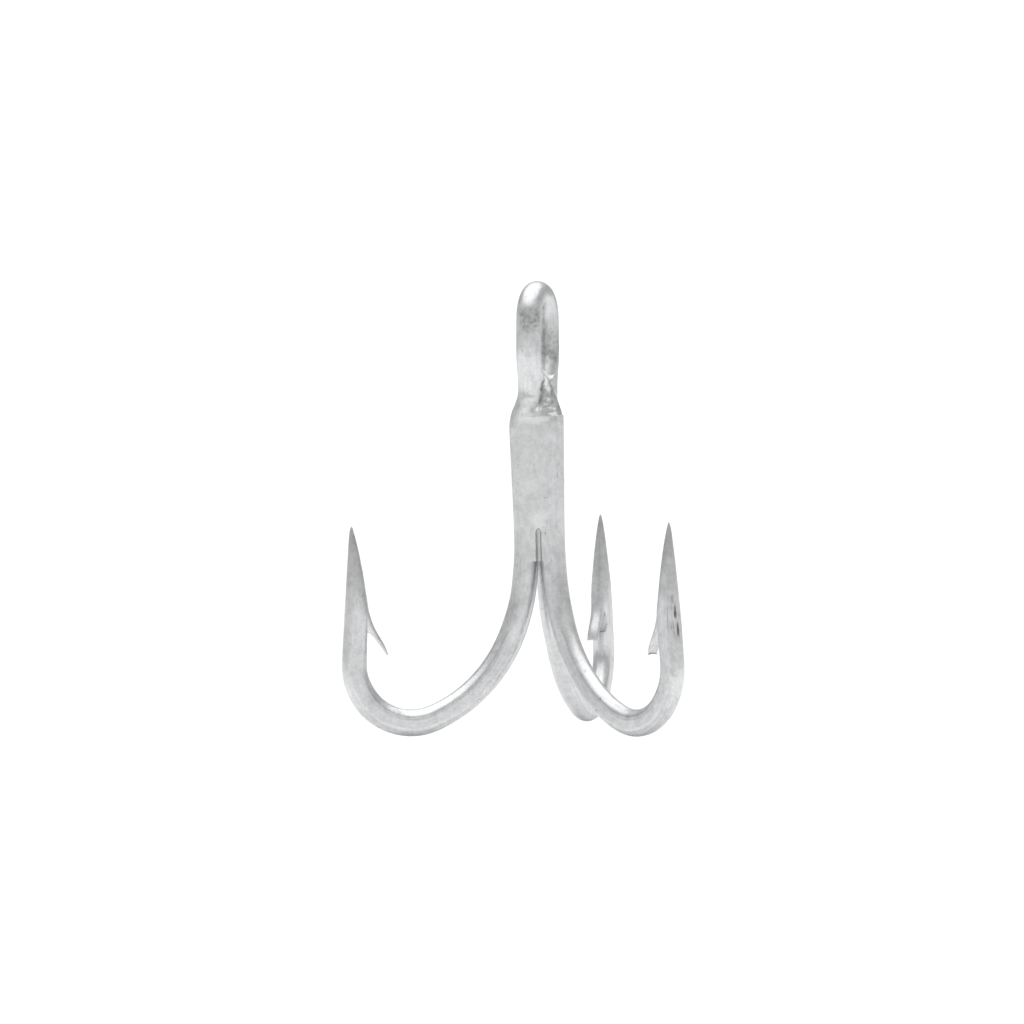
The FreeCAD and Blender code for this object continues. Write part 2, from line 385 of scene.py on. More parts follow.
def carried_frames(line, spots, first):
    """Square-on unit vectors carried along the wire without twist."""
    directions = line.direction(spots)
    sides = [first]
    for direction in directions[1:]:
        side = sides[-1] - direction * (sides[-1] @ direction)
        sides.append(unit(side))
    return directions, np.array(sides)


def sweep_wire(line, azimuths):
    """The skin of a wire with a hook at its start, and at its end where two azimuths are given.

    Returns the distances along it, the rings' vertices, their marks and the wire's directions.
    """
    spots = stations(line.length, len(azimuths))
    directions, sides = carried_frames(line, spots, in_plane(azimuths[0], 0.0, 0.0, 1.0))
    angle = np.linspace(0, 2 * math.pi, AROUND, endpoint=False)
    twist = 0.0
    if len(azimuths) == 2:
        wanted = -in_plane(azimuths[1], 0.0, 0.0, 1.0)
        twist = math.atan2(np.cross(sides[-1], wanted) @ directions[-1], sides[-1] @ wanted)
    body = line.length - len(azimuths) * HOOK_LENGTH
    turned = smooth_step(spots, HOOK_LENGTH, HOOK_LENGTH + max(body, 1.0)) * twist
    cos, sin = np.cos(turned)[:, None], np.sin(turned)[:, None]
    sides = sides * cos + np.cross(directions, sides) * sin
    inwards = np.cross(sides, directions)
    centres = line.at(spots)
    around = np.abs(angle - math.pi) * WIRE_RADIUS
    rings, marks = [], []
    for index, spot in enumerate(spots):
        first_hook = len(azimuths) == 1 or spot < line.length / 2
        from_tip = spot if first_hook else line.length - spot
        inward, side = hook_section(from_tip, angle)
        across = inward[:, None] * inwards[index]
        rings.append(centres[index] + across + side[:, None] * sides[index])
        marks.append(np.stack([np.full(AROUND, spot), around, np.full(AROUND, from_tip)], -1))
    return spots, np.concatenate(rings), np.concatenate(marks), directions


def add_unevenness(points, outward, amount, size):
    """Moves skin points in or out by smooth noise, as no wire or braze is quite even."""
    shifts = np.array([noise.noise(Vector(p) / size) for p in points])
    return points + outward * (amount * shifts)[:, None]


def wire_object(name, line, azimuths, cut_end):
    """A wire's mesh: closed by a point at each hook, and by a slightly domed cap at a cut end."""
    spots, rings, marks, directions = sweep_wire(line, azimuths)
    centres = np.repeat(line.at(spots), AROUND, axis=0)
    outward = rings - centres
    outward = outward / np.maximum(np.linalg.norm(outward, axis=1, keepdims=True), TINY)
    rings = add_unevenness(rings, outward, *WIRE_UNEVENNESS)
    last, last_marks = rings[-AROUND:], marks[-AROUND:]
    middle, end = last.mean(0), directions[-1]
    start_pole = rings[:AROUND].mean(0) - directions[0] * TIP_RADIUS
    point_marks = np.zeros((1, 3))
    if cut_end:
        caps = [middle + (last - middle) * share + end * lift for share, lift in CUT_CAPS]
        end_pole = middle + end * CUT_CAPS[-1][1]
        end_marks = last_marks[:1]
    else:
        caps = []
        end_pole = middle + end * TIP_RADIUS
        end_marks = point_marks
    vertices = np.concatenate([rings, *caps, [start_pole], [end_pole]])
    marks = np.concatenate([marks, *[last_marks] * len(caps), point_marks, end_marks])
    return make_object(name, vertices, ring_faces(len(spots) + len(caps), AROUND), marks)


# ------------ the barbs

# The lip's upper and under edges, (out, up) in the hook's plane, from its root to its free end,
# and its width there.
LIP = (
    ((16.50, 12.30), (16.95, 10.40), 1.45),
    ((16.22, 11.15), (16.62, 9.80), 1.22),
    ((15.96, 10.34), (16.24, 9.62), 1.06),
    ((15.70, 9.78), (15.93, 9.30), 0.98),
    ((15.38, 9.20), (15.58, 8.80), 0.93),
    ((15.03, 8.56), (15.18, 8.22), 0.88),
    ((14.83, 8.08), (14.94, 7.86), 0.82),
    ((14.69, 7.64), (14.74, 7.60), 0.76),
)
LIP_CROWN = 0.16                # fall of the crowned top at the edges, over the width squared
LIP_SQUARENESS = 0.6            # 1 would be an oval section; less is squarer
LIP_SWERVE = 1.4                # more than 1 leaves most of the sideways move to the free end
# Each hook's lip stands this far to its left, and has this share of the widths above, at its
# root and at its free end; the pocket is on this side of it.
LIP_ASIDE = {LEFT: (0.0, 0.15), RIGHT: (0.08, 0.18), FRONT: (0.0, 0.22)}
LIP_SHARE = {LEFT: (1.0, 1.0), RIGHT: (1.0, 1.33), FRONT: (0.85, 1.5)}
POCKET_SIDE = {LEFT: -1, RIGHT: -1, FRONT: 1}
# The pocket's outline, (out, up), and its slices across the hook: sideways, and share of depth.
POCKET = ((15.90, 7.95), (16.85, 8.30), (17.00, 9.00), (16.42, 10.75), (15.90, 10.85))
POCKET_SLICES = ((-0.30, 1.0), (0.10, 1.0), (0.50, 0.94), (0.84, 0.80))
BARB_MARK = 9.0                 # the barb's distance from the point, for the material
LIP_ROWS = 44
LIP_AROUND = 28


def smooth_through(values, count):
    """A smooth curve through a few values (Catmull-Rom), sampled count times."""
    values = np.asarray(values, float)
    padded = np.concatenate([[2 * values[0] - values[1]], values, [2 * values[-1] - values[-2]]])
    out = []
    for t in np.linspace(0, len(values) - 1, count):
        i = min(int(t), len(values) - 2)
        f = t - i
        a, b, c, d = padded[i:i + 4]
        out.append(0.5 * (2 * b + (c - a) * f + (2 * a - 5 * b + 4 * c - d) * f ** 2
                          + (3 * b - 3 * c + d - a) * f ** 3))
    return np.array(out)


def squarish(value):
    """A sine or cosine pushed out towards -1 and 1, which squares up a circle."""
    return math.copysign(abs(value) ** LIP_SQUARENESS, value)


def barb_object(azimuth):
    """The lip that the chisel raised: crowned above, flat below, with a square-cut free end."""
    upper, under = (
        np.stack([smooth_through([row[edge][k] for row in LIP], LIP_ROWS) for k in (0, 1)], -1)
        for edge in (0, 1)
    )
    width = smooth_through([row[2] for row in LIP], LIP_ROWS)
    width = width * np.linspace(*LIP_SHARE[azimuth], LIP_ROWS)
    at_root, at_end = LIP_ASIDE[azimuth]
    points = []
    for row in range(LIP_ROWS):
        thick = upper[row] - under[row]
        thick_unit = thick / max(np.linalg.norm(thick), TINY)
        crown = LIP_CROWN * width[row] ** 2
        aside = at_root + (at_end - at_root) * (row / (LIP_ROWS - 1)) ** LIP_SWERVE
        for j in range(LIP_AROUND):
            turn = 2 * math.pi * j / LIP_AROUND
            side = squarish(math.cos(turn)) * width[row] / 2
            height = 0.5 + 0.5 * squarish(math.sin(turn))
            drop = crown * (2 * side / width[row]) ** 2
            spot = under[row] + thick * height - thick_unit * drop
            points.append(in_plane(azimuth, spot[0], spot[1], side + aside))
    points = np.array(points)
    first = points[:LIP_AROUND].mean(0)
    last = points[-LIP_AROUND:].mean(0)
    vertices = np.concatenate([points, [first], [last]])
    marks = np.stack([vertices[:, 2], vertices[:, 0], np.full(len(vertices), BARB_MARK)], -1)
    made = make_object("barb_tool", vertices, ring_faces(LIP_ROWS, LIP_AROUND), marks)
    fix_normals(made)
    return made


def pocket_object(azimuth):
    """The hollow that the chisel's corner left beside the lip."""
    rings = []
    for side, depth in POCKET_SLICES:
        for out, up in POCKET:
            shallow = POCKET[0][0] + (out - POCKET[0][0]) * depth
            rings.append(in_plane(azimuth, shallow, up, side * POCKET_SIDE[azimuth]))
    count = len(POCKET)
    total = len(rings)
    faces = ring_faces(len(POCKET_SLICES), count, closed=False)
    faces.append(tuple(range(count)))
    faces.append(tuple(range(total - 1, total - count - 1, -1)))
    made = make_object("pocket_tool", np.array(rings), faces, np.full((total, 3), BARB_MARK))
    fix_normals(made)
    return made


def fix_normals(made):
    """Turns all faces outwards."""
    bm = bmesh.new()
    bm.from_mesh(made.data)
    bmesh.ops.recalc_face_normals(bm, faces=bm.faces)
    bm.to_mesh(made.data)
    bm.free()


# ------------ the braze

BRAZE_AROUND = 320
BRAZE_SHARP_ANGLE = 40          # degrees; edges sharper than this stay sharp
BRAZE_LEAST_REACH = 0.02
BRAZE_SINK = 0.006              # the braze's skin lies this far under the wires' where they touch
BRAZE_END_Z = 15.75             # the braze stops square here
CROSSINGS = 3000                # samples of each wire where the braze meets it
SHANK_OVERLAP = 2.5             # they start this far round the bend
SHANK_REACH = 19.0              # and end this far up the shank from the hook
# In each groove the skin dips softly, and then drops into a slot with an arched top.
GROOVE_ANGLES = (90.0, 217.0, 329.0)
DIP_DEPTH, DIP_SPREAD = 0.13, 17.0          # the spread is in degrees
DIP_TOP_Z = 20.5
SLOT_DEPTH = 0.48
SLOT_TOP_Z = 18.85
SLOT_EDGE = 0.22                # height over which the slot's top rounds in
DIP_OVERLAP = 0.3               # the dip is at its deepest this far under the slot's top
SLOT_ARCH, SLOT_ARCH_SPREAD = 0.24, 7.0     # fall of the top this many degrees from its middle
SLOT_SIDE = (5.0, 9.0)          # degrees from its middle between which the slot's wall stands
# Rows of the braze's mesh below the cut end: (from, to, step).
BRAZE_ROWS = (
    (BRAZE_END_Z, SLOT_TOP_Z - 0.7, 0.07),
    (SLOT_TOP_Z - 0.7, SLOT_TOP_Z + 0.05, 0.03),
    (SLOT_TOP_Z + 0.05, FRONT_CUT_Z - 0.1, 0.12),
)
CUT_ROW_GAP = 0.02              # the two rows at the cut end are this far from it
FILLET_FIRST_ROW, FILLET_ROW_STEP = 0.07, 0.05
# How far the fill over the cut end reaches to the front at each height.
FRONT_SLOPE = (
    (29.1, 2.80), (29.6, 2.66), (30.2, 2.43), (30.8, 2.16), (31.4, 1.88),
    (31.9, 1.60), (32.3, 1.29), (32.6, 0.96), (32.85, 0.56), (33.1, 0.0),
)
# Half the thickness of the web between the legs at each height, up to the crotch's top.
WEB_SLOPE = (
    (31.6, 1.50), (31.9, 1.32), (32.2, 1.11), (32.5, 0.87), (32.8, 0.62),
    (33.1, 0.36), (33.4, 0.10),
)
SLOPE_SAMPLES = 80
CROTCH_TOP_Z = 33.4
WEB_START_Z = 31.6              # from here up the fill is a web between the legs
WEB_HOLLOW = 0.35               # how much the web flares towards the legs
WEB_BLEND = 0.12                # softness of its join with the fill round the legs
NO_LIMIT = 9.0                  # a reach past everything
PARTING = 0.8                   # share by which a crease parts the collar from the near leg
PARTING_START = 0.2             # the crease sets in this far above the cut end
PARTING_FULL_Z = 30.6
COLLAR_RADIUS = 1.09            # the fillet over the front hook's cut end
COLLAR_NARROWING = 0.42         # it is this much narrower at its top
COLLAR_TOP_Z = 31.6
COLLAR_ASIDE = -0.06            # it leaves a sliver of the cut end's right bare
# Over the cut's left edge it has a cheek: this proud, between these angles and these heights.
CHEEK = 0.05
CHEEK_ANGLES = ((175, 195), (240, 254))
CHEEK_RISE = (FRONT_CUT_Z - 0.9, FRONT_CUT_Z + 0.4)
CHEEK_FALL = (29.8, 31.3)
# Beside the cheek is a hollow: this deep, at this angle and height, and this wide in each.
HOLLOW = 0.14
HOLLOW_ANGLE, HOLLOW_SPREAD = 262.0, 13.0
HOLLOW_Z, HOLLOW_HEIGHT = 30.0, 0.75
FILLET_EASE = 0.3               # the hollow and the lumps set in over this height
LUMPS_END = (31.2, 32.0)        # and the lumps run out here
# For the material: the radius that turns the braze's angles into lengths, and a distance from
# the point at which there is no wear and no crease.
BRAZE_MARK_RADIUS, BRAZE_MARK = 2.5, 40.0


class Crossings:
    """Where one wire's centreline crosses each height, and its direction there."""

    def __init__(self, line, low_end, high_end):
        distances = np.linspace(low_end, high_end, CROSSINGS)
        points = line.at(distances)
        directions = line.direction(distances)
        order = np.argsort(points[:, 2])
        self.z = points[order, 2]
        self.points = points[order]
        self.directions = directions[order]

    def at(self, height):
        centre = [np.interp(height, self.z, self.points[:, k]) for k in (0, 1)]
        direction = [np.interp(height, self.z, self.directions[:, k]) for k in range(3)]
        return np.array(centre), unit(np.array(direction))


def reach_of_wire(centre, direction, angle, radius=WIRE_RADIUS):
    """How far a level ray from the axis goes before it leaves a wire for good; 0 if it misses."""
    ray = np.stack([np.cos(angle), np.sin(angle)], -1)
    along_ray = ray @ direction[:2]
    along_centre = centre @ direction[:2]
    a = 1 - along_ray ** 2
    b = -2 * (ray @ centre - along_ray * along_centre)
    c = centre @ centre - along_centre ** 2 - radius ** 2
    under = b * b - 4 * a * c
    far = (-b + np.sqrt(np.maximum(under, 0))) / (2 * a)
    return np.where(under > 0, np.maximum(far, 0), 0.0)


def hull_reach(reach, angle):
    """The same reach for the convex outline round a star-shaped one."""
    least_facing = 0.05
    points = np.stack([reach * np.cos(angle), reach * np.sin(angle)], -1)
    turns = np.stack([np.cos(angle), np.sin(angle)], -1)
    support = (points @ turns.T).max(0)
    facing = np.cos(angle[:, None] - angle[None, :])
    limits = support[None, :] / np.maximum(facing, least_facing)
    return np.where(facing > least_facing, limits, np.inf).min(1)


def slope_at(slope, height):
    """The reach that a table of (height, reach) gives at one height."""
    heights, reaches = (smooth_through([row[k] for row in slope], SLOPE_SAMPLES) for k in (0, 1))
    return float(np.interp(height, heights, reaches))


def collar_reach(height, angle):
    """The fillet that closes in over the cut end, as a round moving in towards the neck."""
    narrowed = float(smooth_step(height, FRONT_CUT_Z, COLLAR_TOP_Z))
    radius = COLLAR_RADIUS - COLLAR_NARROWING * narrowed
    centre = in_plane(FRONT, slope_at(FRONT_SLOPE, height) - radius, 0.0, COLLAR_ASIDE)[:2]
    return reach_of_wire(centre, np.array([0.0, 0.0, 1.0]), angle, radius)


def web_reach(height, angle, legs):
    """The limit of the thinning web between the legs, which flares as it meets them."""
    left, right = (leg.at(height)[0] for leg in legs)
    along = math.atan2(right[1] - left[1], right[0] - left[0])
    half = slope_at(WEB_SLOPE, height)
    sin = np.abs(np.sin(angle - along))
    under = sin ** 2 - 4 * WEB_HOLLOW * half * np.cos(angle - along) ** 2
    reach = 2 * half / np.maximum(sin + np.sqrt(np.maximum(under, 0)), 1e-6)
    return np.where(under > 0, reach, NO_LIMIT)


def groove_depth(height, angle):
    """How far under flush the braze is: a soft dip, then a narrow slot with an arched top."""
    turn = np.degrees(angle)
    aside = np.min([np.abs((turn - middle + 180) % 360 - 180) for middle in GROOVE_ANGLES], axis=0)
    dip = DIP_DEPTH * (1 - smooth_step(height, SLOT_TOP_Z - DIP_OVERLAP, DIP_TOP_Z))
    dip = dip * np.exp(-(aside / DIP_SPREAD) ** 2)
    arch = SLOT_TOP_Z - SLOT_ARCH * (aside / SLOT_ARCH_SPREAD) ** 2
    in_slot = smooth_step(arch - height, 0.0, SLOT_EDGE) * (1 - smooth_step(aside, *SLOT_SIDE))
    return dip + (SLOT_DEPTH - dip) * in_slot


def swell(height, angle):
    """The braze's cheek over the left edge of the cut end, and the hollow beside it."""
    turn = np.degrees(angle)
    start, end = CHEEK_ANGLES
    on_left = smooth_step(turn, *start) * (1 - smooth_step(turn, *end))
    rise = smooth_step(height, *CHEEK_RISE)
    cheek = CHEEK * on_left * rise * (1 - smooth_step(height, *CHEEK_FALL))
    away = ((turn - HOLLOW_ANGLE) / HOLLOW_SPREAD) ** 2
    away = away + ((height - HOLLOW_Z) / HOLLOW_HEIGHT) ** 2
    eased = smooth_step(height, FRONT_CUT_Z, FRONT_CUT_Z + FILLET_EASE)
    return cheek - HOLLOW * np.exp(-away) * eased


def braze_reach(height, angle, legs, single):
    """The braze's skin at one height: the wires' hull, sunk where it isn't flush."""
    pair = np.maximum(*[reach_of_wire(*leg.at(height), angle) for leg in legs])
    if height <= FRONT_CUT_Z:
        union = np.maximum(pair, reach_of_wire(*single.at(height), angle))
        reach = hull_reach(union, angle) - groove_depth(height, angle)
    else:
        web = hull_reach(pair, angle)
        if height > WEB_START_Z:
            web = soft_min(web, web_reach(height, angle, legs), WEB_BLEND)
        collar = collar_reach(height, angle)
        reach = np.maximum(web, collar)
        if height < WEB_START_Z:
            start = FRONT_CUT_Z + PARTING_START
            parted = float(smooth_step(height, start, PARTING_FULL_Z)) * PARTING
            joined = hull_reach(np.maximum(pair, collar), angle)
            reach = joined + (reach - joined) * parted
    return reach - BRAZE_SINK + swell(height, angle)


def braze_object(double, front):
    """The fill between the shanks: slotted grooves, a square foot, and a slope up to the neck."""
    angle = np.linspace(0, 2 * math.pi, BRAZE_AROUND, endpoint=False)
    low, high = HOOK_LENGTH - SHANK_OVERLAP, HOOK_LENGTH + SHANK_REACH
    left = Crossings(double, low, high)
    right = Crossings(double, double.length - high, double.length - low)
    single = Crossings(front, low, front.length)
    heights = np.concatenate([
        *[np.arange(*row) for row in BRAZE_ROWS],
        [FRONT_CUT_Z - CUT_ROW_GAP, FRONT_CUT_Z + CUT_ROW_GAP],
        np.arange(FRONT_CUT_Z + FILLET_FIRST_ROW, CROTCH_TOP_Z, FILLET_ROW_STEP),
    ])
    reach = np.array([braze_reach(height, angle, (left, right), single) for height in heights])
    reach = np.maximum(reach, BRAZE_LEAST_REACH)
    rings = np.stack([
        reach * np.cos(angle)[None, :],
        reach * np.sin(angle)[None, :],
        np.repeat(heights[:, None], BRAZE_AROUND, axis=1),
    ], -1).reshape(-1, 3)
    outward = np.stack([np.cos(angle), np.sin(angle), np.zeros_like(angle)], -1)
    outward = np.tile(outward, (len(heights), 1))
    lumpy = smooth_step(rings[:, 2], FRONT_CUT_Z, FRONT_CUT_Z + FILLET_EASE)
    lumpy = lumpy * (1 - smooth_step(rings[:, 2], *LUMPS_END))
    amount, size = FILLET_LUMPS
    rings = add_unevenness(rings, outward, *BRAZE_UNEVENNESS)
    rings = add_unevenness(rings, outward, amount * lumpy, size)
    vertices = np.concatenate([rings, [[0, 0, heights[0]]], [[0, 0, heights[-1]]]])
    around = np.abs(np.arctan2(vertices[:, 1], vertices[:, 0])) * BRAZE_MARK_RADIUS
    marks = np.stack([vertices[:, 2], around, np.full(len(vertices), BRAZE_MARK)], -1)
    made = make_object("braze_fill", vertices, ring_faces(len(heights), BRAZE_AROUND), marks)
    fix_normals(made)
    smooth_shading(made, BRAZE_SHARP_ANGLE)
    return made


# ------------ build

def double_line():
    left = hook_corners(LEFT) + leg_corners(LEFT, -1)
    right = hook_corners(RIGHT) + leg_corners(RIGHT, 1)
    return Line(left + right[::-1])


def front_line():
    top = in_plane(FRONT, shank_radius(FRONT_CUT_Z), FRONT_CUT_Z)
    return Line(hook_corners(FRONT) + [(top, 0.0)])


def build_wires():
    double_path, front_path = double_line(), front_line()
    double = wire_object("double_hook_wire", double_path, (LEFT, RIGHT), False)
    front = wire_object("front_hook_wire", front_path, (FRONT,), True)
    for made, azimuths in ((double, (LEFT, RIGHT)), (front, (FRONT,))):
        fix_normals(made)
        for azimuth in azimuths:
            boolean(made, pocket_object(azimuth), "DIFFERENCE")
            boolean(made, barb_object(azimuth), "UNION")
        smooth_shading(made, WIRE_SHARP_ANGLE)
    return double, front, braze_object(double_path, front_path)


# ------------ materials

# Share of a spot's, a line's or a pit's radius within which it is at full strength.
SPOT_CORE, LINE_CORE, PIT_CORE = 0.5, 0.3, 0.45


class Nodes:
    """Short ways to add nodes to a material's or world's tree and join them up."""

    def __init__(self, tree):
        self.tree = tree

    def add(self, kind, **settings):
        node = self.tree.nodes.new(kind)
        for name, value in settings.items():
            setattr(node, name, value)
        return node

    def join(self, socket, source):
        if isinstance(source, (int, float)):
            socket.default_value = source
        else:
            self.tree.links.new(source, socket)

    def math(self, operation, a, b=0.0, c=0.0):
        node = self.add("ShaderNodeMath", operation=operation)
        for socket, source in zip(node.inputs, (a, b, c)):
            self.join(socket, source)
        return node.outputs[0]

    def weighted(self, total, *parts):
        """The total with each part's value times its weight added to it."""
        for value, weight in parts:
            total = self.math("MULTIPLY_ADD", value, weight, total)
        return total

    def noise(self, place, scale, detail=2.0, roughness=0.5):
        node = self.add("ShaderNodeTexNoise")
        self.join(node.inputs["Vector"], place)
        node.inputs["Scale"].default_value = scale
        node.inputs["Detail"].default_value = detail
        node.inputs["Roughness"].default_value = roughness
        return node.outputs["Fac"]

    def range(self, value, low, high, out_low=0.0, out_high=1.0):
        node = self.add("ShaderNodeMapRange", interpolation_type="SMOOTHSTEP")
        for index, source in enumerate((value, low, high, out_low, out_high)):
            self.join(node.inputs[index], source)
        return node.outputs[0]

    def stretched(self, place, along, around):
        node = self.add("ShaderNodeVectorMath", operation="MULTIPLY")
        self.join(node.inputs[0], place)
        node.inputs[1].default_value = (along, around, 1.0)
        return node.outputs[0]

    def shaken(self, place, scale, amount):
        """The same places moved about by noise, so that spots made there aren't round."""
        cloud = self.add("ShaderNodeTexNoise")
        self.join(cloud.inputs["Vector"], place)
        cloud.inputs["Scale"].default_value = scale
        shift = self.add("ShaderNodeVectorMath", operation="MULTIPLY_ADD")
        self.join(shift.inputs[0], cloud.outputs["Color"])
        shift.inputs[1].default_value = (amount, amount, amount)
        self.join(shift.inputs[2], place)
        return shift.outputs[0]

    def near(self, place, centre, radius):
        """1 near a point on the object, falling to 0 at the radius; mm."""
        away = self.add("ShaderNodeVectorMath", operation="DISTANCE")
        self.join(away.inputs[0], place)
        away.inputs[1].default_value = Vector(centre) * MM
        return self.range(away.outputs["Value"], radius * MM * SPOT_CORE, radius * MM, 1.0, 0.0)

    def stroke(self, place, centre, half_length, half_width):
        """1 on a short upright stroke, falling to 0 at its edges; mm."""
        squeeze = Vector((1.0, 1.0, half_width / half_length))
        flat = self.add("ShaderNodeVectorMath", operation="MULTIPLY")
        self.join(flat.inputs[0], place)
        flat.inputs[1].default_value = squeeze
        return self.near(flat.outputs[0], Vector(centre) * squeeze, half_width)

    def line_at(self, value, middle, width):
        """1 where value is at middle, falling to 0 within width."""
        gap = self.math("ABSOLUTE", self.math("SUBTRACT", value, middle))
        return self.range(gap, width * LINE_CORE, width, 1.0, 0.0)

    def pits(self, place, scale, radius, rarity):
        """1 in a few small round spots."""
        node = self.add("ShaderNodeTexVoronoi")
        self.join(node.inputs["Vector"], place)
        node.inputs["Scale"].default_value = scale
        near = self.range(node.outputs["Distance"], radius * PIT_CORE, radius, 1.0, 0.0)
        split = self.add("ShaderNodeSeparateColor")
        self.join(split.inputs[0], node.outputs["Color"])
        chosen = self.math("GREATER_THAN", split.outputs[0], rarity)
        return self.math("MULTIPLY", near, chosen)

    def bump(self, height, strength, depth, before=None):
        node = self.add("ShaderNodeBump")
        node.inputs["Strength"].default_value = strength
        node.inputs["Distance"].default_value = depth
        self.join(node.inputs["Height"], height)
        if before is not None:
            self.join(node.inputs["Normal"], before)
        return node.outputs["Normal"]


# Spots of darker, mottled colour: painted shade and painted reflection as noted at each, with some
# dross; (x, y, z), radius and strength.
WIRE_SHADE_AND_STAINS = (
    ((-2.78, -2.15, 37.9), 1.5, 0.40),      # under the top of the eye, near leg: partly a painted dark reflection, partly dross
    ((1.38, 0.26, 35.4), 2.5, 0.34),        # the far leg's inner face: painted shade inside the eye
    ((-0.45, -2.60, 28.5), 1.2, 0.20),      # just under the cut end
)
BRAZE_SHADE_AND_STAINS = (
    ((-0.10, -2.10, 30.1), 1.7, 0.38),      # over the cut end: painted shade over the fillet's faces that catch the overhead light
    ((-0.89, -1.35, 16.2), 1.3, 0.12),      # round the slot's foot: painted shade in the slot, with some mottling
    ((-0.40, -1.60, 31.8), 1.0, 0.38),      # on the fillet's top: painted shade that dulls its highlight
)
SCRATCHED = ((-0.40, -18.70, 10.7), 1.9)    # rubbed, on the front hook's outer side
# Gouges there: (x, y, z), half length and strength.
GOUGES = (
    ((-1.02, -18.39, 12.60), 0.50, 0.30),
    ((-0.84, -18.55, 11.44), 0.85, 0.72),
    ((-0.68, -18.69, 9.93), 0.90, 0.72),
)
GOUGE_HALF_WIDTH = 0.17
GOUGE_BREAKS = (0.30, 0.55, 0.5, 1.0)       # where the drawn noise is low they are half as strong
CREASE_AROUND = (1.03, 2.52)                # the flats' edges, where painted shade darkens the crease lines, by distance round the wire's skin
CREASE_LINE_WIDTH = 0.10
CREASE_START = (13.0, 16.0)                 # from the tip
CREASE_END = (HOOK_LENGTH - 10.0, HOOK_LENGTH - 8.0)
WORN = (0.5, 8.0)                           # the point's wear runs out between these

# Noise in the tin: scale, detail and roughness.
GRAIN = (4200, 2.5, 0.6)
MOTTLE = (1500, 2.0, 0.55)
CLOUDS = (330, 2.0)
PATCHES, PATCH_EDGE = (620, 3.0, 0.6), (0.60, 0.72)
BLOTCHES, BLOTCH_EDGE = (2500, 2.5, 0.6), (0.40, 0.64)
# Noise drawn out along the wire, with the stretch along and around it.
STREAKS, STREAK_STRETCH = (1.0, 3.0, 0.6), (0.45, 4.2)
DRAWN, DRAWN_STRETCH = (1.0, 1.0), (0.5, 5.5)
SCRATCH_EDGE, RUBBED_EDGE = (0.70, 0.78), (0.55, 0.62)
# Small spots: scale, radius and rarity; and the noise that makes them ragged.
PITS, SPECKS = (1000, 0.13, 0.88), (2600, 0.22, 0.80)
RAGGED = (2600, 0.00022)
TONE_BASE, TONE_ENDS = -0.05, (0.33, 1.03)  # the ends get the dark and the light colour
ROUGHNESS_BASE = 0.28
STEEL_COLOURS = ((0.49, 0.495, 0.50), (0.69, 0.695, 0.70))
BRAZE_COLOURS = ((0.50, 0.51, 0.51), (0.69, 0.70, 0.70))


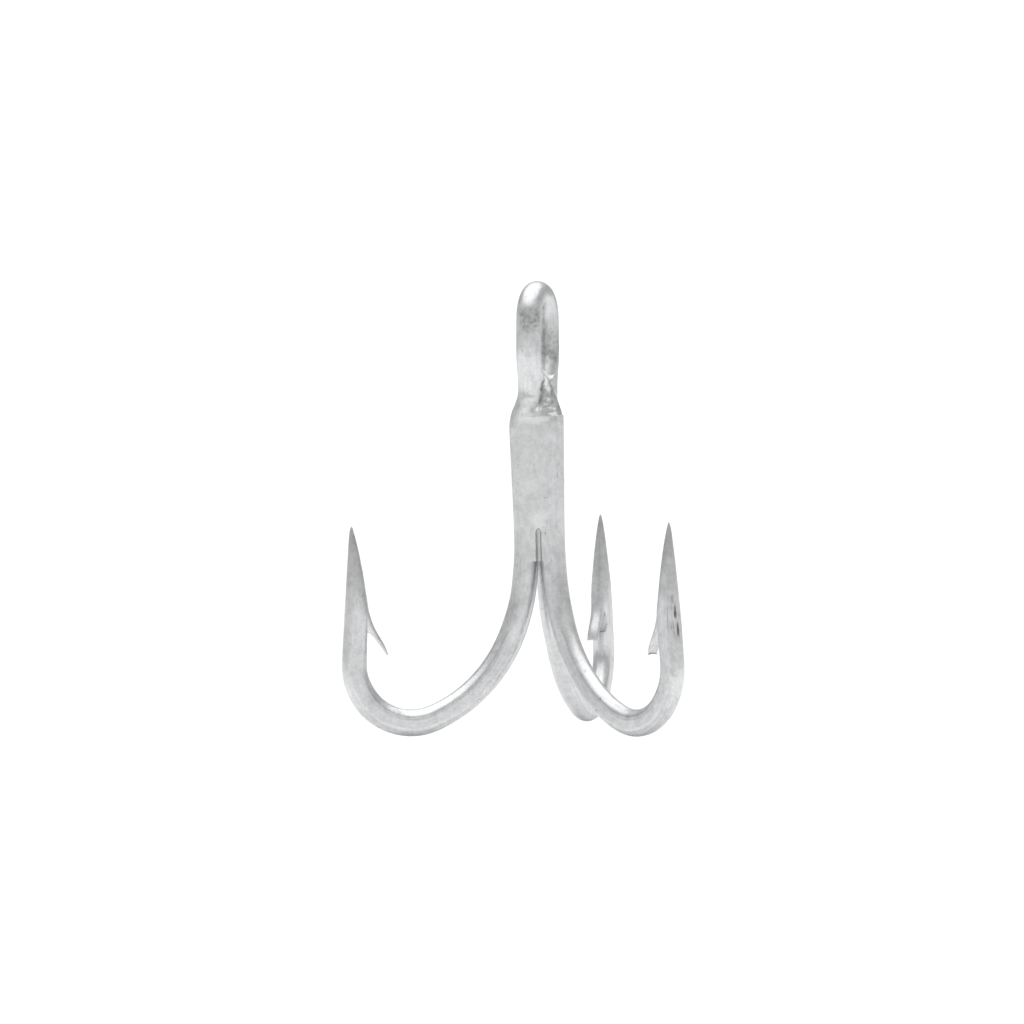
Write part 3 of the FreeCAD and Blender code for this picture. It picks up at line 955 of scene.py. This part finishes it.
def tin_material(name, colours, streaky, shade_and_stains):
    """Dull tin: fine grain, soft mottling, drawing streaks, spots of painted shade and painted
    reflection with some dross, painted shade along the flats' creases, a few pits, a worn point.
    """
    material = bpy.data.materials.new(name)
    material.use_nodes = True
    nodes = Nodes(material.node_tree)
    shader = material.node_tree.nodes["Principled BSDF"]
    place = nodes.add("ShaderNodeTexCoord").outputs["Object"]
    wire = nodes.add("ShaderNodeUVMap", uv_map="wire").outputs["UV"]
    tip = nodes.add("ShaderNodeSeparateXYZ")
    nodes.join(tip.inputs[0], nodes.add("ShaderNodeUVMap", uv_map="tip").outputs["UV"])
    from_tip, around = tip.outputs[0], tip.outputs[1]

    grain = nodes.noise(place, *GRAIN)
    mottle = nodes.noise(place, *MOTTLE)
    clouds = nodes.noise(place, *CLOUDS)
    streaks = nodes.noise(nodes.stretched(wire, *STREAK_STRETCH), *STREAKS)
    patches = nodes.range(nodes.noise(place, *PATCHES), *PATCH_EDGE)
    ragged = nodes.shaken(place, *RAGGED)
    pits = nodes.pits(ragged, *PITS)
    specks = nodes.pits(ragged, *SPECKS)
    drawn = nodes.noise(nodes.stretched(wire, *DRAWN_STRETCH), *DRAWN)
    scratches = nodes.range(drawn, *SCRATCH_EDGE)
    worn = nodes.range(from_tip, *WORN, 1.0, 0.0)

    blotches = nodes.range(nodes.noise(place, *BLOTCHES), *BLOTCH_EDGE)
    # Painted shade and painted reflection, with some dross: these spots darken the colour, mottled
    # by the blotches.
    shade_and_stain = 0.0
    for centre, radius, strength in shade_and_stains:
        here = nodes.math("MULTIPLY", nodes.near(place, centre, radius), strength)
        shade_and_stain = nodes.math("ADD", here, shade_and_stain)
    shade_and_stain = nodes.math("MULTIPLY", shade_and_stain, nodes.weighted(0.35, (blotches, 0.65)))
    rubbed = nodes.range(drawn, *RUBBED_EDGE)
    rubbed = nodes.math("MULTIPLY", rubbed, nodes.near(place, *SCRATCHED))
    gouged = nodes.weighted(0.0, *[
        (nodes.stroke(place, centre, half_length, GOUGE_HALF_WIDTH), strength)
        for centre, half_length, strength in GOUGES
    ])
    gouged = nodes.math("MULTIPLY", gouged, nodes.range(drawn, *GOUGE_BREAKS))
    # Painted shade: the colour is darkened along the creases at the flats' edges, on the steel
    # only.
    forged = nodes.math("MULTIPLY", nodes.range(from_tip, *CREASE_START),
                        nodes.range(from_tip, *CREASE_END, 1.0, 0.0))
    creases = [nodes.line_at(around, middle, CREASE_LINE_WIDTH) for middle in CREASE_AROUND]
    edges = nodes.math("MULTIPLY", nodes.math("ADD", *creases), forged)
    edges = nodes.math("MULTIPLY", edges, streaky)

    tone = nodes.weighted(
        TONE_BASE, (grain, 0.50), (mottle, 0.60), (clouds, 0.42),
        (streaks, 0.45 * streaky), (streaky, -0.225), (patches, -0.22),
    )
    mix = nodes.add("ShaderNodeMix", data_type="RGBA", clamp_factor=True)
    nodes.join(mix.inputs["Factor"], nodes.range(tone, *TONE_ENDS))
    for socket, colour in zip("AB", colours):
        mix.inputs[socket].default_value = (*colour, 1)
    shade = nodes.weighted(
        1.0, (pits, -0.30), (specks, -0.14), (scratches, -0.22 * streaky),
        (rubbed, -0.45 * streaky), (gouged, -streaky), (edges, -0.13), (worn, -0.20),
    )
    shade = nodes.math("SUBTRACT", shade, shade_and_stain)
    grey = nodes.add("ShaderNodeCombineColor")
    for socket in grey.inputs:
        nodes.join(socket, shade)
    tinted = nodes.add("ShaderNodeMix", data_type="RGBA", blend_type="MULTIPLY")
    tinted.inputs["Factor"].default_value = 1.0
    nodes.join(tinted.inputs["A"], mix.outputs["Result"])
    nodes.join(tinted.inputs["B"], grey.outputs[0])
    nodes.join(shader.inputs["Base Color"], tinted.outputs["Result"])

    rough = nodes.weighted(ROUGHNESS_BASE, (mottle, 0.20), (patches, 0.10), (pits, 0.20))
    nodes.join(shader.inputs["Roughness"], rough)
    shader.inputs["Metallic"].default_value = 1.0

    hollow = nodes.math("ADD", pits, nodes.math("MULTIPLY", specks, 0.3))
    hollow = nodes.math("ADD", hollow, nodes.math("MULTIPLY", blotches, shade_and_stain))
    normal = None
    for height, strength, depth in (
        (clouds, 0.35, 0.00006),
        (streaks, 0.25 * streaky, 0.00002),
        (mottle, 0.30, 0.00002),
        (grain, 0.50, 0.000014),
        (nodes.math("MULTIPLY", hollow, -1.0), 0.6, 0.00004),
    ):
        normal = nodes.bump(height, strength, depth, normal)
    nodes.join(shader.inputs["Normal"], normal)
    return material


# ------------ camera, lights and stage

CAMERA_DISTANCE = 468.0
CAMERA_AZIMUTH = -41.3          # of the picture's right-hand side
CAMERA_ELEVATION = 1.6
CAMERA_ROLL = -1.39
CAMERA_AIM_SIDE = -2.72
CAMERA_AIM_Z = 20.28
FRAME_WIDTH = 94.2              # width of the view at the treble's axis
SENSOR_WIDTH = 36.0
CLIP_NEAR, CLIP_FAR = 0.01, 50.0            # metres


def add_camera():
    azimuth = math.radians(CAMERA_AZIMUTH)
    tilt = math.radians(CAMERA_ELEVATION)
    right = Vector((math.cos(azimuth), math.sin(azimuth), 0))
    away = Vector((-math.sin(azimuth), math.cos(azimuth), 0))
    look = away * math.cos(tilt) - Vector((0, 0, 1)) * math.sin(tilt)
    aim = right * CAMERA_AIM_SIDE + Vector((0, 0, CAMERA_AIM_Z))
    data = bpy.data.cameras.new("camera")
    data.sensor_width = SENSOR_WIDTH
    data.lens = SENSOR_WIDTH * CAMERA_DISTANCE / FRAME_WIDTH
    data.clip_start = CLIP_NEAR
    data.clip_end = CLIP_FAR
    camera = add_object("camera", data)
    roll = Matrix.Rotation(math.radians(CAMERA_ROLL), 4, "Z").to_quaternion()
    camera.rotation_mode = "QUATERNION"
    camera.rotation_quaternion = look.to_track_quat("-Z", "Y") @ roll
    camera.location = (aim - look * CAMERA_DISTANCE) * MM
    bpy.context.scene.camera = camera


# Sizes of the lights and the stage are in metres.
LIGHT_HEIGHT, LIGHT_ACROSS, LIGHT_POWER = 0.50, 1.0, 3.1


def overhead_light():
    """A round diffuser straight above, which fills everything steeper than 45 degrees."""
    data = bpy.data.lights.new("overhead_softbox", "AREA")
    data.shape = "DISK"
    data.size = LIGHT_ACROSS
    data.energy = LIGHT_POWER
    add_object("overhead_softbox", data).location = (0, 0, LIGHT_HEIGHT)


SKY = (                         # height of the direction (1 is overhead), brightness there
    (0.0, 0.68),
    (0.35, 0.60),
    (0.60, 0.60),
    (0.75, 0.65),
    (1.0, 0.65),
)


def add_world():
    """A white tent: bright at the sides, and a little darker higher up."""
    world = bpy.data.worlds.new("studio")
    bpy.context.scene.world = world
    world.use_nodes = True
    nodes = Nodes(world.node_tree)
    background = world.node_tree.nodes["Background"]
    split = nodes.add("ShaderNodeSeparateXYZ")
    nodes.join(split.inputs[0], nodes.add("ShaderNodeTexCoord").outputs["Generated"])
    ramp = nodes.add("ShaderNodeValToRGB")
    nodes.join(ramp.inputs[0], split.outputs[2])
    ramp.color_ramp.interpolation = "EASE"
    steps = ramp.color_ramp.elements
    while len(steps) < len(SKY):
        steps.new(0.5)
    for step, (position, value) in zip(steps, SKY):
        step.position = position
        step.color = (value, value, value, 1)
    nodes.join(background.inputs["Color"], ramp.outputs[0])
    background.inputs["Strength"].default_value = 1.0


FLOOR_HALF = 3.0
BACKDROP_RADIUS = 2.9
PAPER_DROP = 0.00001            # the paper lies this far under the floor
FLOOR_GLOW, BACKDROP_GLOW = 1.1, 1.2
PAPER_GLOW, PAPER_DIFFUSE = 0.30, 0.80


def emission_material(name, strength, diffuse=0.0):
    material = bpy.data.materials.new(name)
    material.use_nodes = True
    shader = material.node_tree.nodes["Principled BSDF"]
    shader.inputs["Base Color"].default_value = (diffuse, diffuse, diffuse, 1)
    shader.inputs["Roughness"].default_value = 1.0
    shader.inputs["Specular IOR Level"].default_value = 0.0
    shader.inputs["Emission Color"].default_value = (1, 1, 1, 1)
    shader.inputs["Emission Strength"].default_value = strength
    return material


def add_floor(name, drop, material):
    square = ((-1, -1), (1, -1), (1, 1), (-1, 1))
    corners = [(x * FLOOR_HALF, y * FLOOR_HALF, -drop) for x, y in square]
    floor = make_object(name, np.array(corners) / MM, [(0, 1, 2, 3)])
    floor.data.materials.append(material)
    return floor


def add_backdrop():
    mesh = bpy.data.meshes.new("backdrop")
    bm = bmesh.new()
    bmesh.ops.create_uvsphere(bm, u_segments=48, v_segments=24, radius=BACKDROP_RADIUS)
    bm.to_mesh(mesh)
    bm.free()
    backdrop = add_object("backdrop", mesh)
    backdrop.data.materials.append(emission_material("white_backdrop", BACKDROP_GLOW))
    return backdrop


def add_stage():
    """A white floor and backdrop for the camera, and the shaded paper that the metal mirrors."""
    floor = add_floor("floor", 0.0, emission_material("white_floor", FLOOR_GLOW))
    paper = add_floor("paper", PAPER_DROP, emission_material("paper", PAPER_GLOW, PAPER_DIFFUSE))
    paper.visible_camera = False
    backdrop = add_backdrop()
    for made in (floor, backdrop):
        made.visible_glossy = False
        made.visible_diffuse = False
        made.visible_shadow = False


bpy.context.scene.view_settings.view_transform = "Standard"
add_camera()
add_stage()
add_world()
overhead_light()

double, front, braze = build_wires()
steel = tin_material("tinned_steel", STEEL_COLOURS, 1.0, WIRE_SHADE_AND_STAINS)
tinned_braze = tin_material("tinned_braze", BRAZE_COLOURS, 0.0, BRAZE_SHADE_AND_STAINS)
for piece, node, slot, material in (
    (double, "double_hook", "tinned_steel", steel),
    (front, "front_hook", "tinned_steel", steel),
    (braze, "braze", "tinned_braze", tinned_braze),
):
    piece.data.materials.clear()
    piece.data.materials.append(material)
    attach(piece, "root")
    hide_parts(node)
